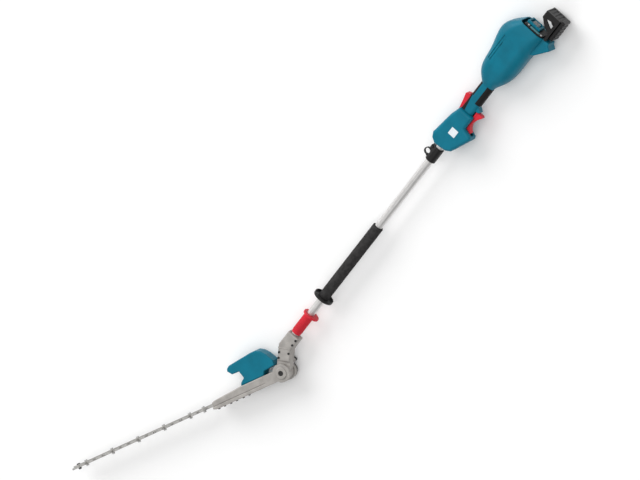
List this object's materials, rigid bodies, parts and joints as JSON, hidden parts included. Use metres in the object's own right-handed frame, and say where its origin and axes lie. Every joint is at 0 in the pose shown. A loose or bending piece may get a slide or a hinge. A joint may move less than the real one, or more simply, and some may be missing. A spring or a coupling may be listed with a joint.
{
  "type": "pole hedge trimmer",
  "caption": "Cordless pole hedge trimmer: toothed blades on a tilting head, bent neck, pole with foam grip and strap eye, trigger handle and a motor housing with an empty battery bay.",
  "frame": {"origin": "centre of the strap eye on the pole", "axes": "+X along the pole towards the battery end, +Y towards the tool's top, +Z towards its left side; the tool lies on its right side"},
  "size_m": [2.174, 0.3781, 0.0926],
  "materials": {
    "teal_plastic": "satin moulded",
    "black_plastic": "fine texture",
    "black_rubber": "matt",
    "foam": "matt foam",
    "red_plastic": "satin moulded",
    "cast_aluminium": "as cast",
    "pole_aluminium": "drawn and anodised",
    "blade_steel": "ground",
    "dark_steel": "black oxide",
    "bright_steel": "turned",
    "laminated_iron": "stacked sheets",
    "bronze": "turned"
  },
  "bodies": {
    "tool": {"motor_housing_left": "teal_plastic", "motor_housing_right": "teal_plastic", "housing_screws": "dark_steel", "motor_can": "dark_steel", "motor_stator": "laminated_iron", "motor_end_plates": "cast_aluminium", "motor_bearings": "bright_steel", "control_module": "black_plastic", "terminal_plate": "black_plastic", "terminal_plate_screws": "bright_steel", "terminal_block": "teal_plastic", "battery_terminals": "bright_steel", "battery_guard": "black_plastic", "handle_left": "teal_plastic", "handle_right": "teal_plastic", "grip_overmould": "black_rubber", "control_pins": "bright_steel", "trigger_switch": "black_plastic", "pole": "pole_aluminium", "shaft_bushes": "black_plastic", "strap_hanger": "black_plastic", "foam_grip": "foam", "hand_stop": "black_plastic", "spring_stop_ring": "bright_steel", "sleeve_spring": "bright_steel", "neck_socket": "cast_aluminium", "neck_case_left": "cast_aluminium", "neck_case_right": "cast_aluminium", "neck_screws": "bright_steel", "neck_bearings": "bronze", "flexible_link": "bright_steel", "pawl_pin": "bright_steel"},
    "drive": {"motor_rotor": "bright_steel", "cooling_fan": "black_plastic", "shaft_coupling": "bright_steel", "drive_shaft": "bright_steel"},
    "pinion": {"neck_pinion": "bright_steel"},
    "crank": {"crank_gear": "bright_steel"},
    "trigger": {"trigger": "red_plastic"},
    "lock_lever": {"lock_lever": "red_plastic"},
    "release": {"release_sleeve": "red_plastic", "pull_rod": "bright_steel"},
    "pawl": {"lock_pawl": "dark_steel"},
    "head": {"gear_case": "cast_aluminium", "case_cover": "cast_aluminium", "left_cheek": "cast_aluminium", "right_cheek": "cast_aluminium", "index_disc": "cast_aluminium", "tilt_bolts": "dark_steel", "head_grip_left": "teal_plastic", "head_grip_right": "teal_plastic", "head_screws": "dark_steel", "guide_bar": "blade_steel", "blade_bolts": "bright_steel", "tip_screw": "dark_steel"},
    "upper_cutter": {"upper_blade": "blade_steel", "upper_yoke": "bright_steel"},
    "lower_cutter": {"lower_blade": "blade_steel", "lower_yoke": "bright_steel"}
  },
  "joints": [
    {"name": "motor_spin", "type": "hinge", "parent": "tool", "child": "drive", "pos_m": [0.293, -0.023, 0], "axis": [1, 0, 0], "continuous": true},
    {"name": "pinion_spin", "type": "hinge", "parent": "tool", "child": "pinion", "pos_m": [-0.8502, -0.06917, 0], "axis": [0.8425, 0.5388, 0], "continuous": true},
    {"name": "crank_spin", "type": "hinge", "parent": "tool", "child": "crank", "pos_m": [-0.8502, -0.06917, 0], "axis": [0, 0, 1], "continuous": true},
    {"name": "trigger_squeeze", "type": "hinge", "parent": "tool", "child": "trigger", "pos_m": [0.149, -0.047, 0], "axis": [0, 0, 1], "range_deg": [0, 7], "stiffness_Nm_per_rad": 0.5, "springref_deg": -11.46},
    {"name": "lock_lever_press", "type": "hinge", "parent": "tool", "child": "lock_lever", "pos_m": [0.168, -0.006, 0], "axis": [0, 0, 1], "range_deg": [-6, 0], "stiffness_Nm_per_rad": 0.2, "springref_deg": 14.32},
    {"name": "sleeve_pull", "type": "slide", "parent": "tool", "child": "release", "axis": [1, 0, 0], "range_m": [0, 0.008], "stiffness_N_per_m": 1200, "springref_m": -0.01},
    {"name": "pawl_swing", "type": "hinge", "parent": "tool", "child": "pawl", "pos_m": [-0.81071, -0.0641, 0], "axis": [0, 0, 1], "range_deg": [-13, 0]},
    {"name": "head_tilt", "type": "hinge", "parent": "tool", "child": "head", "pos_m": [-0.8502, -0.06917, 0], "axis": [0, 0, 1], "range_deg": [-10, 105]},
    {"name": "upper_blade_slide", "type": "slide", "parent": "head", "child": "upper_cutter", "axis": [-0.9041, 0.4274, 0], "range_m": [-0.004, 0.004]},
    {"name": "lower_blade_slide", "type": "slide", "parent": "head", "child": "lower_cutter", "axis": [-0.9041, 0.4274, 0], "range_m": [-0.004, 0.004]}
  ],
  "couplings": [
    {"joint": "pinion_spin", "follows": "motor_spin", "ratio": 1},
    {"joint": "crank_spin", "follows": "motor_spin", "ratio": 0.44444},
    {"joint": "pawl_swing", "follows": "sleeve_pull", "rad_per_m": -27.027},
    {"joint": "lower_blade_slide", "follows": "upper_blade_slide", "ratio": -1}
  ]
}
